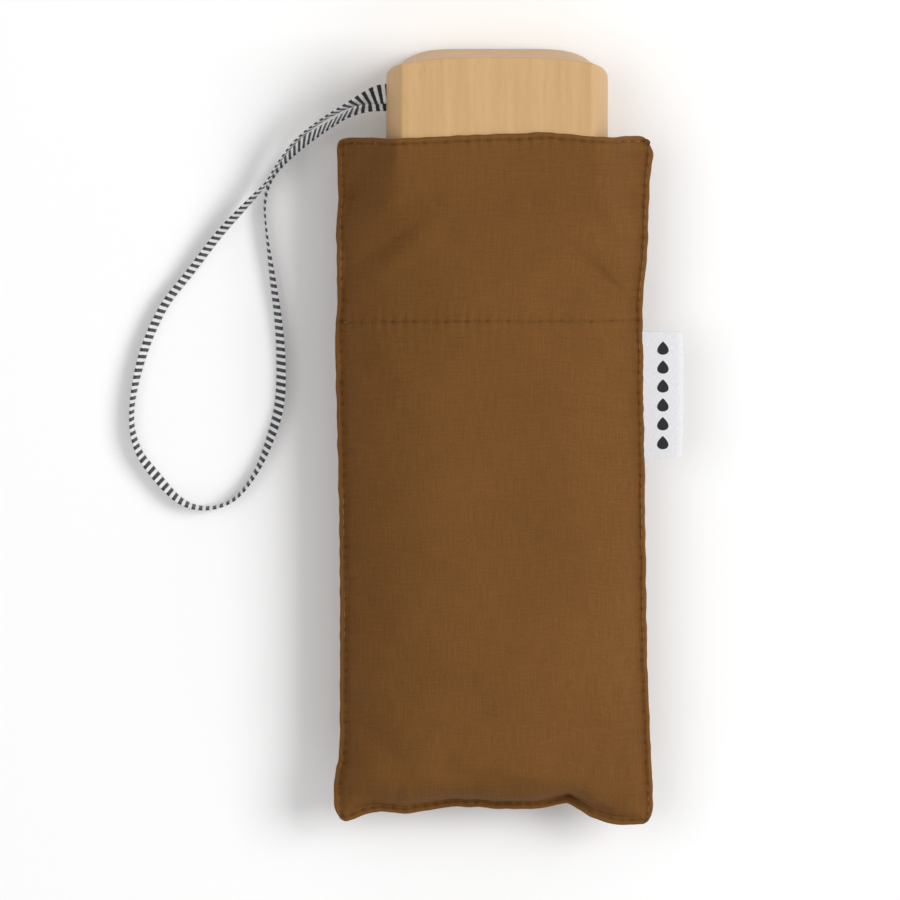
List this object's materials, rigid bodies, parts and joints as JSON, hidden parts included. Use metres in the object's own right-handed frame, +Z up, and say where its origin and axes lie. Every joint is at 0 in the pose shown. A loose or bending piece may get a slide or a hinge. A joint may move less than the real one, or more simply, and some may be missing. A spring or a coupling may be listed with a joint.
{
  "type": "folding umbrella",
  "caption": "Compact folding umbrella, closed in a soft cloth sleeve, with an arched wooden block handle and a striped wrist strap.",
  "frame": {"origin": "on the flat underside of the sleeve, straight below the shaft axis, halfway along the closed length", "axes": "+Y towards the handle's arched end, +Z up from the surface the umbrella lies on, +X towards the sleeve's label"},
  "size_m": [0.128, 0.1743, 0.0314],
  "materials": {
    "handle_wood": "pale maple, fine straight grain, satin lacquer",
    "collar_metal": "satin turned metal",
    "pin_steel": "plated steel wire and pins",
    "shaft_steel": "bright plated tube with fine drawing lines",
    "spring_steel": "blued spring steel",
    "black_plastic": "moulded black plastic",
    "cap_plastic": "smooth black plastic",
    "rib_steel": "black coated steel channel",
    "rib_fibre": "pultruded glass fibre",
    "canopy_cloth": "fine plain-woven polyester, brown",
    "tie_cloth": "folded canopy cloth with edge stitching",
    "snap_metal": "pressed snap, plated",
    "sleeve_cloth": "fine woven polyester, warm brown, tonal topstitching",
    "label_cloth": "woven white label with a plain black pattern",
    "strap_webbing": "narrow woven ribbon, fine black and white cross stripes"
  },
  "bodies": {
    "handle": {"handle_block": "handle_wood", "handle_collar": "collar_metal", "handle_pin": "pin_steel", "strap_anchor": "pin_steel", "shaft_tube_1": "shaft_steel", "catch_spring_1": "spring_steel", "wrist_strap": "strap_webbing"},
    "stage_2": {"shaft_tube_2": "shaft_steel", "catch_spring_2": "spring_steel"},
    "stage_3": {"shaft_tube_3": "shaft_steel", "catch_spring_3": "spring_steel"},
    "crown": {"shaft_tube_4": "shaft_steel", "crown_hub": "black_plastic", "crown_wire": "pin_steel", "crown_cap": "cap_plastic", "runner": "black_plastic", "runner_wire": "pin_steel", "runner_catch": "spring_steel", "canopy": "canopy_cloth", "tie_band": "tie_cloth", "tie_snap": "snap_metal", "rib_1_stretcher": "rib_steel", "rib_1_segment_1": "rib_steel", "rib_1_segment_2": "rib_steel", "rib_1_segment_3": "rib_steel", "rib_1_segment_4": "rib_steel", "rib_1_segment_5": "rib_fibre", "rib_2_stretcher": "rib_steel", "rib_2_segment_1": "rib_steel", "rib_2_segment_2": "rib_steel", "rib_2_segment_3": "rib_steel", "rib_2_segment_4": "rib_steel", "rib_2_segment_5": "rib_fibre", "rib_3_stretcher": "rib_steel", "rib_3_segment_1": "rib_steel", "rib_3_segment_2": "rib_steel", "rib_3_segment_3": "rib_steel", "rib_3_segment_4": "rib_steel", "rib_3_segment_5": "rib_fibre", "rib_4_stretcher": "rib_steel", "rib_4_segment_1": "rib_steel", "rib_4_segment_2": "rib_steel", "rib_4_segment_3": "rib_steel", "rib_4_segment_4": "rib_steel", "rib_4_segment_5": "rib_fibre", "rib_5_stretcher": "rib_steel", "rib_5_segment_1": "rib_steel", "rib_5_segment_2": "rib_steel", "rib_5_segment_3": "rib_steel", "rib_5_segment_4": "rib_steel", "rib_5_segment_5": "rib_fibre", "rib_6_stretcher": "rib_steel", "rib_6_segment_1": "rib_steel", "rib_6_segment_2": "rib_steel", "rib_6_segment_3": "rib_steel", "rib_6_segment_4": "rib_steel", "rib_6_segment_5": "rib_fibre"},
    "sleeve": {"sleeve_front": "sleeve_cloth", "sleeve_back": "sleeve_cloth", "sleeve_label": "label_cloth"}
  },
  "joints": [
    {"name": "shaft_stage_1", "type": "slide", "parent": "handle", "child": "stage_2", "axis": [0, -1, 0], "range_m": [0, 0.085]},
    {"name": "shaft_stage_2", "type": "slide", "parent": "stage_2", "child": "stage_3", "axis": [0, -1, 0], "range_m": [0, 0.095]},
    {"name": "shaft_stage_3", "type": "slide", "parent": "stage_3", "child": "crown", "axis": [0, -1, 0], "range_m": [0, 0.105]},
    {"name": "sleeve_slide", "type": "slide", "parent": "crown", "child": "sleeve", "axis": [0, -1, 0], "range_m": [0, 0.165]}
  ]
}
